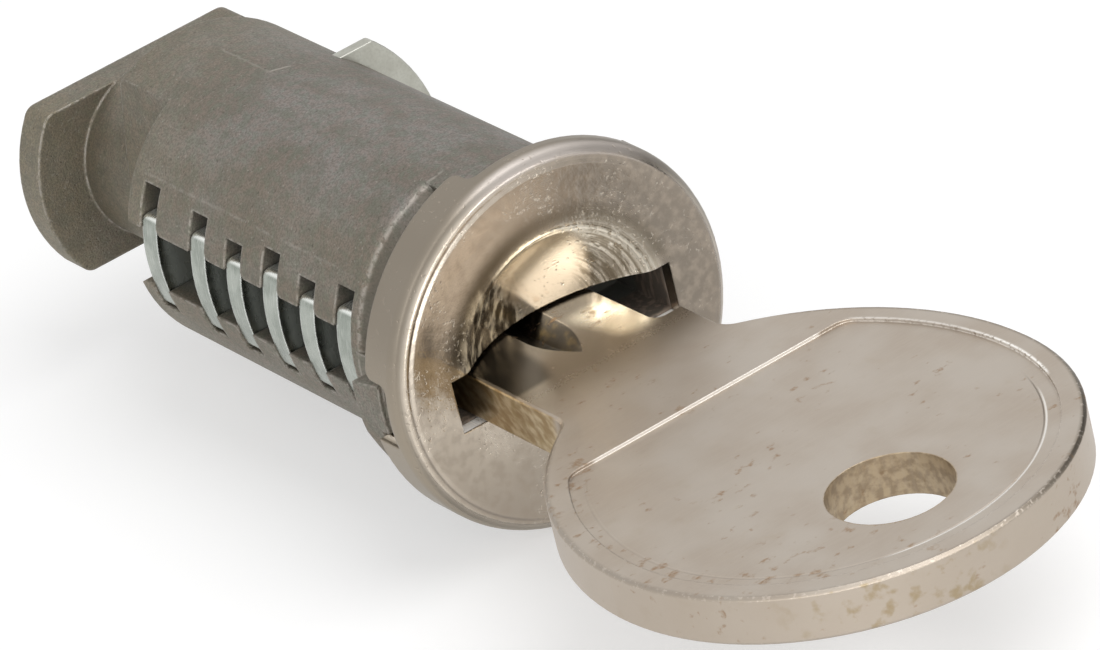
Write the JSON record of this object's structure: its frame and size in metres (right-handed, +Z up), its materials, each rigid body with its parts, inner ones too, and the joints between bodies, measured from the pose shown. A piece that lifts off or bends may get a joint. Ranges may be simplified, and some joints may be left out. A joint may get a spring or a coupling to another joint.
{
  "type": "lock cylinder",
  "caption": "Wafer lock plug with a pressed face cap, side wafers, a sprung retaining plate, a drive tail and a round-bow flat key pushed fully home.",
  "frame": {"origin": "on the lock's axis, in the middle of the barrel's bearing length", "axes": "+Y along the lock's axis from the face towards the drive tail, +X across the flat of the key towards its cut edge, +Z up"},
  "size_m": [0.019, 0.0535, 0.015],
  "materials": {
    "zinc_casting": "matt, as cast",
    "cap_steel": "satin, bright at the rim",
    "wafer_metal": "bright nickel plate, stamped edges",
    "plated_steel": "bright zinc plate",
    "spring_wire": "drawn wire",
    "key_nickel": "worn nickel plate"
  },
  "bodies": {
    "plug": {"plug_body": "zinc_casting", "face_cap": "cap_steel", "wafer_spring_1": "spring_wire", "wafer_spring_2": "spring_wire", "wafer_spring_3": "spring_wire", "wafer_spring_4": "spring_wire", "wafer_spring_5": "spring_wire", "wafer_spring_6": "spring_wire", "retainer_spring_upper": "spring_wire", "retainer_spring_lower": "spring_wire"},
    "key": {"key": "key_nickel"},
    "wafer_1": {"wafer_1": "wafer_metal"},
    "wafer_2": {"wafer_2": "wafer_metal"},
    "wafer_3": {"wafer_3": "wafer_metal"},
    "wafer_4": {"wafer_4": "wafer_metal"},
    "wafer_5": {"wafer_5": "wafer_metal"},
    "wafer_6": {"wafer_6": "wafer_metal"},
    "retainer": {"retaining_plate": "plated_steel"}
  },
  "joints": [
    {"name": "key_slide", "type": "slide", "parent": "plug", "child": "key", "axis": [0, -1, 0], "range_m": [0, 0.024]},
    {"name": "wafer_1_slide", "type": "slide", "parent": "plug", "child": "wafer_1", "axis": [-1, 0, 0], "range_m": [0, 0.0009], "deforming": ["wafer_spring_1"]},
    {"name": "wafer_2_slide", "type": "slide", "parent": "plug", "child": "wafer_2", "axis": [-1, 0, 0], "range_m": [0, 0.0009], "deforming": ["wafer_spring_2"]},
    {"name": "wafer_3_slide", "type": "slide", "parent": "plug", "child": "wafer_3", "axis": [-1, 0, 0], "range_m": [0, 0.0009], "deforming": ["wafer_spring_3"]},
    {"name": "wafer_4_slide", "type": "slide", "parent": "plug", "child": "wafer_4", "axis": [-1, 0, 0], "range_m": [0, 0.0009], "deforming": ["wafer_spring_4"]},
    {"name": "wafer_5_slide", "type": "slide", "parent": "plug", "child": "wafer_5", "axis": [-1, 0, 0], "range_m": [0, 0.0009], "deforming": ["wafer_spring_5"]},
    {"name": "wafer_6_slide", "type": "slide", "parent": "plug", "child": "wafer_6", "axis": [-1, 0, 0], "range_m": [0, 0.0009], "deforming": ["wafer_spring_6"]},
    {"name": "retainer_slide", "type": "slide", "parent": "plug", "child": "retainer", "axis": [-1, 0, 0], "range_m": [0, 0.00165], "stiffness_N_per_m": 300, "springref_m": -0.001, "deforming": ["retainer_spring_upper", "retainer_spring_lower"]}
  ],
  "couplings": [
    {"joint": "wafer_1_slide", "follows": "key_slide", "ratio": 0.0375},
    {"joint": "wafer_2_slide", "follows": "key_slide", "ratio": 0.0375},
    {"joint": "wafer_3_slide", "follows": "key_slide", "ratio": 0.0375},
    {"joint": "wafer_4_slide", "follows": "key_slide", "ratio": 0.0375},
    {"joint": "wafer_5_slide", "follows": "key_slide", "ratio": 0.0375},
    {"joint": "wafer_6_slide", "follows": "key_slide", "ratio": 0.0375}
  ]
}
